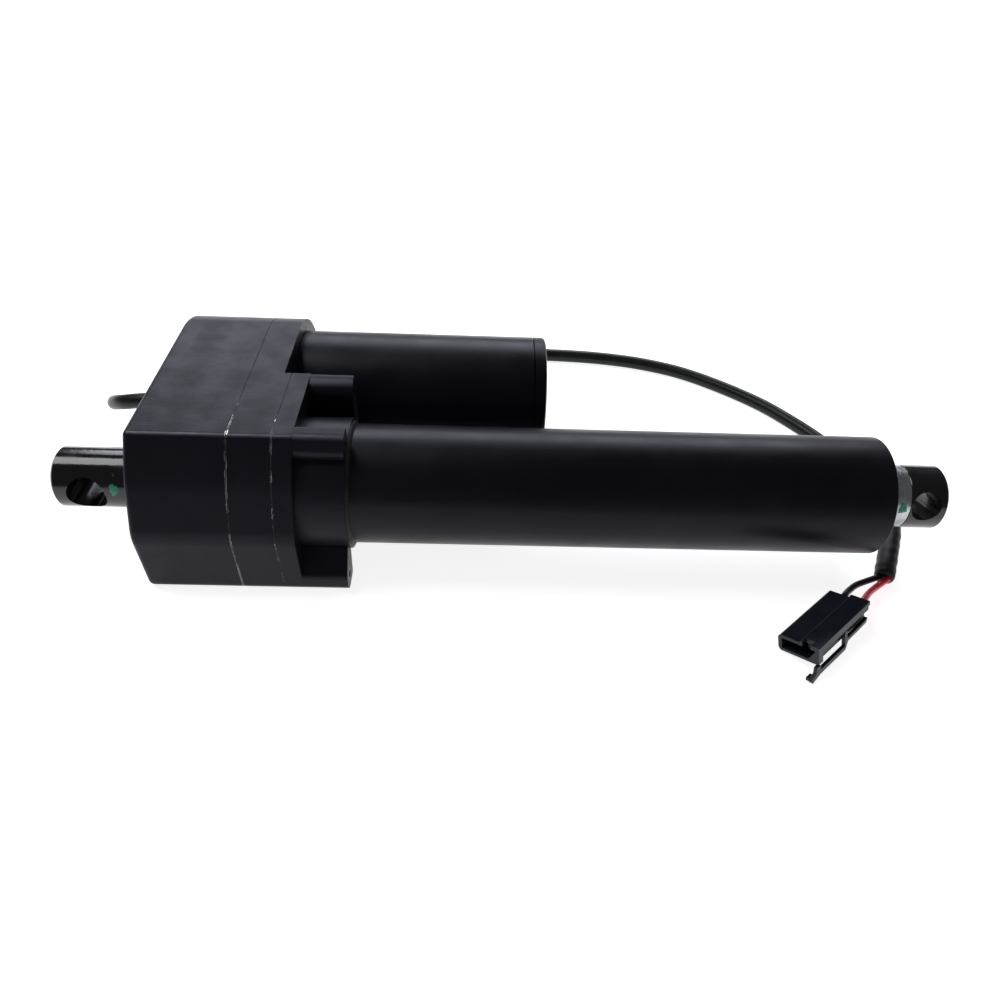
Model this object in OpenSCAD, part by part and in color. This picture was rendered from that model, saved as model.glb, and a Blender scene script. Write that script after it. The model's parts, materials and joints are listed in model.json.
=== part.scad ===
// Electric linear actuator with a parallel gear motor, spur gear train, lead screw and free cable.
// Frame: origin at the rear pin hole on the screw axis, +X towards the rod end,
// +Y from the screw axis to the motor axis, +Z up.  Millimetres.

/* [Stroke tube] */
// Outside diameter of the cover tube
tube_od = 50.8; // [50:0.1:52]
// Wall of the cover tube
tube_wall = 2.5; // [2:0.1:3]
// Front end of the cover tube
tube_end_x = 331.6; // [325:0.1:340]
// Outside diameter of the sliding rod tube
rod_od = 27.4; // [26:0.1:27.6]
// Length of bare rod that shows in front of the cover tube
rod_show = 12; // [8:0.5:20]
// Distance from the rear pin hole to the rod pin hole, retracted
pin_to_pin = 350.6; // [345:0.1:360]
// Diameter of the rod pin hole
rod_pin_d = 12.7; // [10:0.1:14]
// Turn of the rod pin hole about the rod, seen from the rod end
rod_pin_turn = 21; // [0:1:45]

/* [Rear clevis] */
// Diameter of the rear clevis bar
clevis_d = 25.4; // [24:0.1:28]
// Diameter of the rear pin hole
clevis_pin_d = 16; // [10:0.5:17]
// Bar left behind the rear pin hole
clevis_tail = 13.7; // [12:0.1:20]

/* [Gearbox] */
// Rear face of the gearbox
gearbox_rear_x = 23.2; // [22:0.1:30]
// Joint between the rear housing and the gear plate
rear_seam_x = 63; // [62:0.1:64]
// Joint between the gear plate and the front housing
front_seam_x = 80.4; // [80:0.1:81]
// Front face of the gear plate beside the motor
motor_face_x = 77.2; // [76:0.1:79]
// Front of the tube housing's flange
flange_front_x = 88.3; // [87:0.1:92]
// Front of the tube housing's boss and screw columns
housing_front_x = 108.2; // [104:0.1:112]
// Distance from the screw axis to the flat top and bottom
half_height = 34; // [33:0.1:35]
// Wall of the rear housing
housing_wall = 3; // [2.5:0.1:3.5]
// Radius of the round along the rear edge
rear_round = 2.2; // [1:0.1:2.6]

/* [Gears] */
// Gear module
gear_module = 1.25; // [1.25:0.25:1.25]
// Teeth of the motor pinion
pinion_teeth = 12; // [12:1:12]
// Teeth of the idler wheel
wheel_teeth = 42; // [42:1:42]
// Teeth of the idler pinion
idler_teeth = 20; // [20:1:20]
// Teeth of the drive gear on the screw
drive_teeth = 36; // [36:1:36]

/* [Motor] */
// Diameter of the motor can
motor_d = 57; // [54:0.5:57]
// Front end of the motor can
motor_can_x = 186; // [180:0.5:190]
// Front end of the motor end cap
motor_cap_x = 192; // [188:0.5:195]

/* [Lead screw] */
// Outside diameter of the screw thread
screw_d = 16; // [15:0.5:16]
// Front end of the thread
thread_end_x = 264; // [262:1:268]

/* [Cable] */
// Diameter of the cable
cable_d = 7.2; // [6.5:0.1:7.3]
// Diameter of the shrink sleeve on the cable's end
sleeve_d = 8.7; // [8.2:0.1:8.8]
// Diameter of each wire
wire_d = 2.8; // [2:0.1:2.8]
// Length of the connector housing
plug_l = 37.4; // [36:0.1:39]
// Width of the connector housing
plug_w = 17.6; // [17:0.1:18]
// Height of the connector housing
plug_h = 8.4; // [8:0.1:9]

/* [Hidden] */

eps = 0.02;
fit = 0.05;
shell_steps = 8;

// Motor axis, from the gear centre distances
idler_y = gear_module * (idler_teeth + drive_teeth) / 2;
motor_y = idler_y + gear_module * (pinion_teeth + wheel_teeth) / 2;

// Stations along the screw axis
gasket_t = 0.4;
cavity_rear_x = gearbox_rear_x + 8;
rear_bearing_x = 35;
bearing_w = 8;
drive_x = [44, 53];
wheel_x = [54, 61.5];
plate_x = [rear_seam_x + gasket_t / 2, front_seam_x - gasket_t / 2];
housing_x = [front_seam_x + gasket_t / 2, housing_front_x];
tube_rear_x = 84.5;
thread_x = 71.6;
nut_x = [88, 122];
nut_socket_x = 104;
board_x = [90, 300];

// Radii
tube_r = tube_od / 2;
tube_bore_r = tube_r - tube_wall;
rod_r = rod_od / 2;
rod_bore_r = 10;
motor_r = motor_d / 2;
boss_r = 27.8;
axle_r = 4;
bearing_seat_r = 13;
plate_bearing_r = 14;
journal_r = 5;
shoulder_r = 6;
shaft_r = 2.5;
key_w = 3;
rod_ring_x = tube_end_x + rod_show;
rod_end_x = pin_to_pin + 9.4;

// Screw places, in Y and Z
cover_screw_at = [[-8.8, 27.5], [-26, -27.4], [motor_y + 21.5, 17.1], [motor_y + 21.5, -17.1]];
// The third number sets the column's front back from the boss
housing_screw_at = [[-9.3, 28.4, 0], [-26.8, -28, 1], [27.4, 27.9, 1.4], [27.4, -27.9, 1.4]];
motor_screw_at = [[motor_y, 18], [motor_y, -18]];
cover_tip_x = plate_x[0] + 7.5;
housing_tip_x = plate_x[1] - 8;
screw_r = 2;
head_r = 3.5;
head_h = 4;

// Cable: exit, table height and the route's own points
exit_y = 57;
lead_y = 89;
cable_z = -30.4;
sleeve_z = -29.6;
cable_route = [
    [31.2, 57, 0], [22, 57, 0], [10, 57, 0], [0, 56.6, -0.5], [-8.5, 58, -2.5], [-15, 62.3, -6],
    [-20, 69, -11], [-22.5, 76.8, -16.5], [-22.2, 85, -22], [-18.5, 93, -27], [-11, 100.5, -30],
    [0, 107.5, cable_z], [12, 115, cable_z], [28, 125, cable_z], [47, 134.5, cable_z], [70, 143, cable_z],
    [96, 149.5, cable_z], [124, 153.8, cable_z], [152, 156, cable_z], [180, 157, cable_z],
    [207, 156.8, cable_z], [232, 155, cable_z], [256, 150.5, cable_z], [279, 142, cable_z],
    [300, 128.5, cable_z], [319.5, 111.8, cable_z], [333, 95.5, cable_z], [344, 79, cable_z],
    [353, 61, cable_z], [359, 44, -30.2], [361.8, 32, -29.8], [361.7, 22.2, sleeve_z],
    [359.5, 16.5, sleeve_z]];
sleeve_route = [[359.5, 16.5, sleeve_z], [356.8, 9.5, sleeve_z], [353.7, 2.5, sleeve_z],
    [350.5, -4, sleeve_z], [347.3, -10.5, sleeve_z], [344.3, -16.5, sleeve_z], [342, -21.3, sleeve_z]];
black_route = [[340.4, -20.7, sleeve_z], [335, -22.4, -30.3], [328, -25.6, -30.2], [322.2, -30.6, -28.8],
    [318.6, -34.6, -27.3], [314.9, -37.8, -27.3]];
red_route = [[343.4, -22, sleeve_z], [336.5, -27, -29.2], [329.8, -33, -27.2], [323.8, -40, -24.6],
    [319.7, -43.5, -24.6]];

// Connector: place of its rear face centre, heading of its mouth and roll
plug_at = [318.5, -39.4, -26.6];
plug_heading = 220.5;
plug_roll = 20;

// ---------- helpers ----------
function unit(v) = v / norm(v);
function turn_right(v) = [v[1], -v[0]];

// Corner points of an arc of radius c[2] that rounds corner c between a and b
function corner_arc(a, c, b) =
    let (p = [c[0], c[1]], u = unit([a[0], a[1]] - p), v = unit([b[0], b[1]] - p),
         half = acos(min(1, max(-1, u * v))) / 2)
    c[2] == 0 || half > 89 ? [p] :
    let (reach = c[2] / tan(half), centre = p + unit(u + v) * c[2] / sin(half),
         from = p + u * reach - centre, sweep = 180 - 2 * half,
         way = u[0] * v[1] - u[1] * v[0] > 0 ? -1 : 1)
    [for (i = [0:shell_steps]) let (t = way * sweep * i / shell_steps)
        centre + [from[0] * cos(t) - from[1] * sin(t), from[0] * sin(t) + from[1] * cos(t)]];

// Outline from points [x, y, corner radius]
function rounded(p) = [for (i = [0:len(p) - 1])
    each corner_arc(p[(i + len(p) - 1) % len(p)], p[i], p[(i + 1) % len(p)])];

// Point b of the chain a, b, c moved inwards by w (the inside lies on the left of the chain)
function inset(a, b, c, w) =
    let (n1 = -turn_right(unit([b[0] - a[0], b[1] - a[1]])), n2 = -turn_right(unit([c[0] - b[0], c[1] - b[1]])))
    let (q = [b[0], b[1]] + (n1 + n2) * w / (1 + n1 * n2)) [q[0], q[1], max(0.5, b[2] - w)];

// Extrude a Y, Z outline along X
module along_x(x) {
    translate([x[0], 0, 0]) rotate([90, 0, 90]) linear_extrude(x[1] - x[0]) children();
}

module rod_x(x, r, y = 0, z = 0) {
    translate([x[0], y, z]) rotate([0, 90, 0]) cylinder(h = x[1] - x[0], r = r, $fn = 64);
}

module tube_x(x, r_in, r_out, y = 0) {
    difference() {
        rod_x(x, r_out, y);
        rod_x([x[0] - 1, x[1] + 1], r_in, y);
    }
}

// Ring turned about a line along X, from a profile of [x, r] points
module turned_x(profile, y = 0) {
    translate([0, y, 0]) rotate([0, 90, 0]) rotate_extrude($fn = 64)
        polygon([for (p = profile) [p[1], p[0]]]);
}

// Tube along a chain of points: a ring of points square to the path at each one
function path_tangent(p, i) = unit(p[min(i + 1, len(p) - 1)] - p[max(i - 1, 0)]);
function ring_at(p, i, r, sides) =
    let (t = path_tangent(p, i), a = unit(cross(t, abs(t[2]) > 0.9 ? [0, 1, 0] : [0, 0, 1])), b = cross(a, t))
    [for (k = [0:sides - 1]) p[i] + r * (a * cos(360 * k / sides) + b * sin(360 * k / sides))];

module swept(p, r, sides) {
    last = (len(p) - 1) * sides;
    polyhedron(
        points = [for (i = [0:len(p) - 1]) each ring_at(p, i, r, sides)],
        faces = concat(
            [[for (k = [0:sides - 1]) k]],
            [for (i = [0:len(p) - 2]) for (k = [0:sides - 1])
                let (n = (k + 1) % sides) [i * sides + k, (i + 1) * sides + k, (i + 1) * sides + n, i * sides + n]],
            [[for (k = [sides - 1:-1:0]) last + k]]));
}

// ---------- gears ----------
pressure_angle = 20;
tooth_gap = 0.12;
flank_steps = 3;
function involute_deg(a) = tan(a) * 180 / PI - a;
function gear_polygon(n, phase) =
    let (pitch = gear_module * n / 2, base = pitch * cos(pressure_angle), tip = pitch + gear_module,
         root = pitch - 1.25 * gear_module, start = max(base, root),
         half_tooth = 90 / n - tooth_gap / pitch * 90 / PI, at_pitch = involute_deg(pressure_angle))
    [for (k = [0:n - 1]) let (mid = phase + 360 * k / n) each concat(
        [polar(root, mid - half_tooth - at_pitch - (root < base ? 0.6 : -involute_deg(acos(min(1, base / start)))))],
        [for (s = [0:flank_steps]) let (r = start + (tip - start) * s / flank_steps)
            polar(r, mid - half_tooth - at_pitch + involute_deg(acos(base / r)))],
        [for (s = [flank_steps:-1:0]) let (r = start + (tip - start) * s / flank_steps)
            polar(r, mid + half_tooth + at_pitch - involute_deg(acos(base / r)))],
        [polar(root, mid + half_tooth + at_pitch + (root < base ? 0.6 : -involute_deg(acos(min(1, base / start)))))])];
function polar(r, a) = [r * cos(a), r * sin(a)];

// The drive gear has a tooth at 0 degrees (towards the idler), so each next gear starts with a gap
idler_phase = 180 + 180 / idler_teeth;
wheel_phase = 0;
pinion_phase = 180 + 180 / pinion_teeth;

module gear_x(x, teeth, phase, y = 0) {
    translate([0, y, 0]) along_x(x) polygon(gear_polygon(teeth, phase));
}

// ---------- gearbox castings ----------
near_side = [[-12.4, half_height, 3], [-24, 18.5, 40], [-33.6, -3, 16], [-32, -half_height, 4.5]];
module gearbox_outline(w = 0) {
    chain = concat([[motor_y, half_height, 0]], near_side, [[motor_y, -half_height, 0]]);
    polygon(rounded(concat([[motor_y, half_height - w, 0]],
        [for (i = [1:len(near_side)]) inset(chain[i - 1], chain[i], chain[i + 1], w)],
        [[motor_y, w - half_height, 0]])));
}

module gearbox_section(w = 0) {
    gearbox_outline(w);
    translate([motor_y, 0]) circle(r = half_height - w, $fn = 96);
}

// Round the rear edge of the housing from its rear face onto its sides
module rounded_rear() {
    hull() for (i = [0:5])
        let (a = i * 18, x = gearbox_rear_x + rear_round * (1 - cos(a)))
            along_x([x, x + 0.01]) gearbox_section(rear_round * (1 - sin(a)));
}

module cover_bosses() {
    for (p = cover_screw_at) translate(p) circle(r = 4.6, $fn = 48);
}

module rear_housing() color("#26282e") {
    difference() {
        union() {
            rounded_rear();
            along_x([gearbox_rear_x + rear_round, plate_x[0] - gasket_t]) gearbox_section();
        }
        difference() {
            along_x([cavity_rear_x, rear_seam_x + 1]) gearbox_section(housing_wall);
            along_x([cavity_rear_x - 1, rear_seam_x + 2]) cover_bosses();
            rod_x([cavity_rear_x - 1, rear_bearing_x + bearing_w], 16.5);
            rod_x([cavity_rear_x - 1, drive_x[0] - 2], 7, idler_y);
        }
        rod_x([gearbox_rear_x - 1, 40], 8.02);
        rod_x([cavity_rear_x, rear_seam_x], 11);
        rod_x([rear_bearing_x, rear_seam_x], bearing_seat_r + eps);
        rod_x([cavity_rear_x, rear_seam_x], axle_r + eps, idler_y);
        rod_x([gearbox_rear_x - 1, cavity_rear_x + 1], 5, exit_y);
        for (p = cover_screw_at) {
            rod_x([gearbox_rear_x - 1, rear_seam_x + 1], screw_r + fit, p[0], p[1]);
            rod_x([gearbox_rear_x - 1, gearbox_rear_x + head_h + 0.5], head_r + 0.2, p[0], p[1]);
        }
    }
}

module rear_clevis() color("#141519") {
    difference() {
        union() {
            translate([-clevis_tail, 0, 0]) turned_x([[0, 0], [0, clevis_d / 2 - 1], [1, clevis_d / 2],
                [gearbox_rear_x + clevis_tail, clevis_d / 2], [gearbox_rear_x + clevis_tail, 0]]);
            rod_x([gearbox_rear_x - 1, cavity_rear_x], 8);
        }
        translate([0, 20, 0]) rotate([90, 0, 0]) cylinder(h = 40, d = clevis_pin_d, $fn = 64);
        rod_x([16, cavity_rear_x + 1], 3 + fit);
    }
}

module clevis_screw() color("silver") {
    difference() {
        union() {
            rod_x([16.5, cavity_rear_x], 3);
            rod_x([cavity_rear_x, cavity_rear_x + 3], 5);
        }
        translate([cavity_rear_x + 1, 0, 0]) rotate([0, 90, 0]) cylinder(h = 3, d = 4.6, $fn = 6);
    }
}

module gearbox_gasket() color("#c9c9c4") {
    difference() {
        along_x([plate_x[0] - gasket_t, plate_x[0]]) gearbox_section(0.15);
        difference() {
            along_x([rear_seam_x - 1, rear_seam_x + 1]) gearbox_section(housing_wall);
            along_x([rear_seam_x - 2, rear_seam_x + 2]) cover_bosses();
        }
        for (p = cover_screw_at) rod_x([rear_seam_x - 1, rear_seam_x + 1], screw_r + fit, p[0], p[1]);
    }
}

module gear_plate() color("#26282e") {
    difference() {
        union() {
            along_x([plate_x[0], motor_face_x]) gearbox_section();
            along_x([motor_face_x - 1, plate_x[1]]) flange_section();
        }
        rod_x([plate_x[0] - 1, plate_x[0] + bearing_w], plate_bearing_r + eps);
        rod_x([plate_x[0] - 1, plate_x[1] + 1], 11);
        rod_x([plate_x[0] - 1, plate_x[0] + 9], axle_r + eps, idler_y);
        rod_x([plate_x[0] - 1, plate_x[1] + 1], 4.5, motor_y);
        rod_x([motor_face_x - 6, motor_face_x + 1], 10, motor_y);
        rod_x([plate_x[0] - 1, plate_x[1] + 1], 3, lead_y);
        for (p = motor_screw_at) rod_x([plate_x[0] - 1, plate_x[1] + 1], screw_r + fit, p[0], p[1]);
        for (p = cover_screw_at) rod_x([plate_x[0] - 1, cover_tip_x + 0.4], screw_r + fit, p[0], p[1]);
        for (p = housing_screw_at) rod_x([housing_tip_x - 0.4, plate_x[1] + 1], screw_r + fit, p[0], p[1]);
    }
}

flange_far_y = 31.5;
module flange_section(w = 0) {
    intersection() {
        gearbox_outline(w);
        translate([-50, -50]) square([flange_far_y - w + 50, 100]);
    }
}

module front_gasket() color("#c9c9c4") {
    difference() {
        along_x([plate_x[1], housing_x[0]]) flange_section(0.15);
        rod_x([front_seam_x - 1, front_seam_x + 1], 11);
        for (p = housing_screw_at) rod_x([front_seam_x - 1, front_seam_x + 1], screw_r + fit, p[0], p[1]);
    }
}

// Screw columns beside the boss, as Y, Z outlines
near_top_column = [[-6, 12, 0], [-16.6, 27.6, 3.5], [-12.4, half_height, 4.5], [-5.5, half_height, 1.5], [-4, 20, 0]];
near_bottom_column = [[-8, -6, 0], [-24, -15, 2], [-32.4, -25, 4], [-32, -half_height, 4.5],
    [-20, -half_height, 2], [-18, -20, 0]];
far_wall = [[22.8, -half_height, 7], [flange_far_y, -half_height, 1], [flange_far_y, half_height, 1],
    [22.8, half_height, 7]];

module front_housing() color("#26282e") {
    difference() {
        union() {
            along_x([housing_x[0], flange_front_x]) flange_section();
            rod_x(housing_x, boss_r);
            along_x(housing_x) polygon(rounded(near_top_column));
            along_x([housing_x[0], housing_x[1] - housing_screw_at[1][2]]) polygon(rounded(near_bottom_column));
            along_x([housing_x[0], housing_x[1] - housing_screw_at[2][2]]) polygon(rounded(far_wall));
        }
        rod_x([housing_x[0] - 1, housing_x[1] + 1], tube_bore_r);
        rod_x([tube_rear_x, housing_x[1] + 1], tube_r + eps);
        for (p = housing_screw_at) {
            rod_x([housing_x[0] - 1, housing_x[1] + 1], screw_r + fit, p[0], p[1]);
            rod_x([housing_x[1] - p[2] - head_h, housing_x[1] + 1], head_r + 0.1, p[0], p[1]);
        }
    }
}

// Socket head screw along X; way is 1 when the head is at the rear
module cap_screw(x_head, x_tip, at) {
    way = x_tip > x_head ? 1 : -1;
    seat = x_head + way * head_h;
    difference() {
        union() {
            rod_x([min(x_head, seat), max(x_head, seat)], head_r, at[0], at[1]);
            rod_x([min(seat, x_tip), max(seat, x_tip)], screw_r, at[0], at[1]);
        }
        translate([x_head - way, at[0], at[1]]) rotate([0, way * 90, 0]) cylinder(h = 3.2, d = 3.4, $fn = 6);
    }
}

module cover_screws() color("#1b1c20")
    for (p = cover_screw_at) cap_screw(gearbox_rear_x + 0.5, cover_tip_x, p);

module housing_screws() color("#1b1c20")
    for (p = housing_screw_at) cap_screw(housing_front_x - p[2], housing_tip_x, p);

module motor_screws() color("silver")
    for (p = motor_screw_at) cap_screw(plate_x[0] - head_h, motor_face_x + 3.5, p);

// ---------- tube and rod guide ----------
bush_x = [309, tube_end_x - 1.4];
seal_x = [bush_x[1] - 5, bush_x[1] - 0.2];
module cover_tube() color("#191a22") tube_x([tube_rear_x, tube_end_x], tube_bore_r, tube_r);

module tube_seal() color("#1d1e24") {
    seal = [[0, tube_r + eps], [0, tube_r + 1.4], [0.5, tube_r + 1.2], [1.2, tube_r + 0.5], [1.5, tube_r + eps]];
    translate([housing_front_x, 0, 0]) turned_x(seal);
}

module front_bush() color("#b9b6a6") {
    difference() {
        rod_x(bush_x, tube_bore_r - fit);
        rod_x([bush_x[0] - 1, bush_x[1] + 1], rod_r + fit);
        rod_x([seal_x[0], bush_x[1] + 1], 18);
    }
}

module wiper_seal() color("#101114") tube_x(seal_x, rod_r + fit, 18 - eps);

module retaining_ring() color("#8b8d92") {
    difference() {
        rod_x([bush_x[1], bush_x[1] + 1], tube_bore_r - fit);
        rod_x([bush_x[1] - 1, bush_x[1] + 2], 20.4);
        translate([bush_x[1] - 1, -2, -tube_r]) cube([3, 4, 8]);
    }
}

board_z = -21.2;
module limit_board() color("#1f5a3a")
    translate([board_x[0], -8.2, board_z]) cube([board_x[1] - board_x[0], 16.4, 1.6]);

module limit_switches() color("#22242a")
    for (x = [board_x[0] + 2, 258]) translate([x, -3.2, board_z + 1.6]) {
        cube([12.8, 6.4, 4.6]);
        translate([4, 2.2, 4.6]) cube([2.4, 2, 0.5]);
    }

// ---------- bearings ----------
ball_r = 2.4;
module outer_race(x, r_in, r_out, pitch) color("#b7bac0")
    difference() {
        tube_x([x, x + bearing_w], r_in, r_out);
        translate([x + bearing_w / 2, 0, 0]) rotate([0, 90, 0]) rotate_extrude($fn = 64)
            translate([pitch, 0]) circle(r = ball_r + fit, $fn = 32);
    }

module bearing_balls(x, pitch, count) color("silver")
    for (k = [0:count - 1]) rotate([k * 360 / count, 0, 0])
        translate([x + bearing_w / 2, 0, pitch]) sphere(r = ball_r, $fn = 32);

rear_pitch = 9;
front_pitch = 10;
module rear_bearing_ring() outer_race(rear_bearing_x, 10.6, bearing_seat_r, rear_pitch);
module rear_bearing_balls() bearing_balls(rear_bearing_x, rear_pitch, 9);
module rear_bearing_race() outer_race(rear_bearing_x, journal_r + eps, 7.4, rear_pitch);
module front_bearing_ring() outer_race(plate_x[0], 11.6, plate_bearing_r, front_pitch);
module front_bearing_balls() bearing_balls(plate_x[0], front_pitch, 10);
module front_bearing_race() outer_race(plate_x[0], shoulder_r + eps, 8.4, front_pitch);

// ---------- idler ----------
module idler_axle() color("silver") rod_x([33, plate_x[0] + 8.8], axle_r, idler_y);

module idler_washers() color("silver") {
    tube_x([drive_x[0] - 2, drive_x[0] - 0.2], axle_r + eps, 7, idler_y);
    tube_x([wheel_x[1] + 0.2, plate_x[0]], axle_r + eps, 7, idler_y);
}

hub_r = 7;
module idler_wheel() color("#e3dfd0") {
    difference() {
        gear_x(wheel_x, wheel_teeth, wheel_phase, idler_y);
        rod_x([wheel_x[0] - 1, wheel_x[1] + 1], hub_r + eps, idler_y);
        for (x = [wheel_x[0] - 1, wheel_x[1] - 1.5]) difference() {
            rod_x([x, x + 2.5], 22.5, idler_y);
            rod_x([x - 1, x + 4], 11, idler_y);
        }
    }
}

module idler_pinion() color("#9a9ca2") {
    difference() {
        union() {
            gear_x(drive_x, idler_teeth, idler_phase, idler_y);
            rod_x([drive_x[1] - 1, wheel_x[1]], hub_r, idler_y);
        }
        rod_x([drive_x[0] - 1, wheel_x[1] + 1], axle_r + fit, idler_y);
    }
}

// ---------- motor ----------
can_x = [motor_face_x + 0.05, motor_can_x];
can_wall = 1.8;
module motor_can() color("#191a22") tube_x(can_x, motor_r - can_wall, motor_r, motor_y);

module motor_front_plate() color("#8b8d92") {
    difference() {
        union() {
            rod_x([can_x[0], can_x[0] + 4], motor_r - can_wall - eps, motor_y);
            rod_x([can_x[0] - 5.8, can_x[0] + 0.5], 9.95, motor_y);
        }
        rod_x([can_x[0] - 7, can_x[0] + 5], 5 + eps, motor_y);
        rod_x([can_x[0] - 1, can_x[0] + 5], 3, lead_y);
        for (p = motor_screw_at) rod_x([can_x[0] - 1, can_x[0] + 5], screw_r + fit, p[0], p[1]);
    }
}

cap_gap = 0.5;
module motor_end_cap() color("#191a22") {
    difference() {
        union() {
            turned_x([[motor_can_x + cap_gap, 0], [motor_can_x + cap_gap, motor_r], [motor_cap_x - 1.6, motor_r],
                [motor_cap_x - 0.45, motor_r - 0.45], [motor_cap_x, motor_r - 1.6], [motor_cap_x, 0]], motor_y);
            rod_x([motor_can_x - 5, motor_can_x + cap_gap + 1], motor_r - can_wall - eps, motor_y);
        }
        difference() {
            rod_x([motor_can_x - 6, motor_can_x + 1.5], motor_r - can_wall - 2.5, motor_y);
            rod_x([motor_can_x - 7, motor_can_x + 2], 8, motor_y);
        }
        rod_x([motor_can_x - 6, motor_can_x + 1.5], 5 + eps, motor_y);
    }
}

module motor_bushes() color("#b08d57") {
    tube_x([can_x[0] - 5.8, can_x[0] + 4], shaft_r + fit, 5, motor_y);
    tube_x([motor_can_x - 5, motor_can_x + 1.5], shaft_r + fit, 5, motor_y);
}

module motor_magnets() color("#3a3b40")
    intersection() {
        tube_x([104, 166], 22.4, motor_r - can_wall - eps, motor_y);
        translate([135, motor_y, 0]) for (side = [0, 180]) rotate([side, 0, 0])
            along_x([-40, 40]) polygon([[0, 0], [40, 28], [40, -28]]);
    }

armature_x = [106, 164];
core_r = 21.8;
slots = 9;
module armature_core() color("#6d6f75") {
    difference() {
        rod_x(armature_x, core_r, motor_y);
        rod_x([armature_x[0] - 1, armature_x[1] + 1], shaft_r + eps, motor_y);
        translate([0, motor_y, 0]) for (k = [0:slots - 1]) rotate([k * 360 / slots, 0, 0]) {
            rod_x([armature_x[0] - 1, armature_x[1] + 1], 4, 0, 15);
            translate([armature_x[0] - 1, -1, 15]) cube([armature_x[1] - armature_x[0] + 2, 2, 10]);
        }
    }
}

module armature_windings() color("#b5622d") {
    for (x = [armature_x[0] - 7, armature_x[1]]) turned_x([[x, 8], [x, 17], [x + 1.5, 19], [x + 5.5, 19],
        [x + 7, 17], [x + 7, 8]], motor_y);
    translate([0, motor_y, 0]) for (k = [0:slots - 1]) rotate([k * 360 / slots, 0, 0])
        rod_x([armature_x[0] - 2, armature_x[1] + 2], 3.8, 0, 15);
}

commutator_r = 8.5;
module commutator() color("#b5622d")
    difference() {
        tube_x([88, 99], shaft_r + eps, commutator_r, motor_y);
        translate([0, motor_y, 0]) for (k = [0:slots - 1]) rotate([(k + 0.5) * 360 / slots, 0, 0])
            translate([87, -0.3, commutator_r - 1.2]) cube([13, 0.6, 2]);
    }

module motor_shaft() color("silver") rod_x([52, motor_can_x + 1.2], shaft_r, motor_y);

module motor_pinion() color("#9a9ca2") {
    difference() {
        gear_x([wheel_x[0] - 1.5, wheel_x[1] + 0.5], pinion_teeth, pinion_phase, motor_y);
        rod_x([wheel_x[0] - 3, wheel_x[1] + 2], shaft_r + eps, motor_y);
    }
}

brush_x = [90.5, 96.5];
module brush_holder() color("#5b4636") {
    difference() {
        rod_x([brush_x[0] - 3.5, brush_x[0] - 1], motor_r - can_wall - eps, motor_y);
        rod_x([brush_x[0] - 4, brush_x[0]], commutator_r + 1, motor_y);
        rod_x([brush_x[0] - 4, brush_x[0]], 3, lead_y);
    }
    for (side = [-1, 1]) difference() {
        translate([brush_x[0] - 1, motor_y - 4.5, side * 17 - 6]) cube([8.5, 9, 12]);
        translate([brush_x[0] - 0.1, motor_y - 3.1, side * 17 - 7]) cube([6.2, 6.2, 14]);
    }
}

module brushes() color("#2b2b2d")
    for (side = [0, 180]) translate([0, motor_y, 0]) rotate([side, 0, 0]) difference() {
        translate([brush_x[0], -3, 7]) cube([6, 6, 12]);
        rod_x([brush_x[0] - 1, brush_x[1] + 1], commutator_r + fit);
    }

lead_r = 1;
module motor_leads() color("#b03030")
    for (side = [-1, 1]) {
        z = side * 1.3;
        swept([[31.35, exit_y, z], [33.5, exit_y, z], [36, exit_y + 4, z], [38.5, exit_y + 12, z], [41, lead_y - 11, z],
            [46, lead_y - 3, z], [54, lead_y, z], [66, lead_y, z], [78, lead_y, z], [85.8, lead_y, z]],
            lead_r, 8);
    }

// ---------- screw ----------
module lead_screw() color("#a8abb1") {
    difference() {
        union() {
            rod_x([rear_bearing_x, drive_x[0]], journal_r);
            rod_x([drive_x[0] - 0.5, thread_x + 0.5], shoulder_r);
        }
        translate([drive_x[0] + 0.5, -key_w / 2 - eps, 4]) cube([8 + eps, key_w + 2 * eps, 4]);
    }
    rod_x([thread_x, thread_end_x], screw_d / 2);
    rod_x([thread_end_x - 1, 277], 4);
}

module drive_gear() color("#9a9ca2") {
    difference() {
        gear_x(drive_x, drive_teeth, 0);
        rod_x([drive_x[0] - 1, drive_x[1] + 1], shoulder_r + eps);
        translate([drive_x[0] - 1, -key_w / 2 - eps, 4]) cube([12, key_w + 2 * eps, 3.6]);
        for (x = [drive_x[0] - 1, drive_x[1] - 2]) difference() {
            rod_x([x, x + 3], 18, 0);
            rod_x([x - 1, x + 4], 10.5, 0);
        }
    }
}

module gear_key() color("silver")
    translate([drive_x[0] + 0.6, -key_w / 2, 4.1]) cube([7.8, key_w, 3.4]);

module spacer_sleeve() color("#9a9ca2") tube_x([drive_x[1] + 0.1, plate_x[0] - 0.05], shoulder_r + eps, 7);

module screw_guide() color("#e3dfd0")
    tube_x([thread_end_x + 2, 276], 4 + eps, rod_bore_r - 0.12);

// ---------- nut and rod ----------
nut_flat = 14.2;
pin_places = [0, 180];
module pin_holes(r) {
    for (side = pin_places) translate([114, 0, 0]) rotate([90 + side, 0, 0])
        translate([0, 0, rod_bore_r]) cylinder(h = 7.4, r = r, $fn = 32);
}

module drive_nut() color("#d9d3bd") {
    difference() {
        union() {
            rod_x([nut_x[0], nut_socket_x - 4], tube_bore_r - 0.3);
            rod_x(nut_x, 17.5);
        }
        rod_x([nut_x[0] - 1, nut_x[1] + 1], screw_d / 2 + fit);
        rod_x([nut_socket_x, nut_x[1] + 1], rod_r + eps);
        translate([nut_x[0] - 1, -9, -tube_r]) cube([50, 18, tube_r - nut_flat]);
        pin_holes(2 + eps);
    }
}

module rod_tube() color("#c9ccd2") {
    difference() {
        tube_x([nut_socket_x, rod_ring_x], rod_bore_r, rod_r);
        pin_holes(2 + eps);
    }
}

module nut_pins() color("silver") pin_holes(2);

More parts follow.
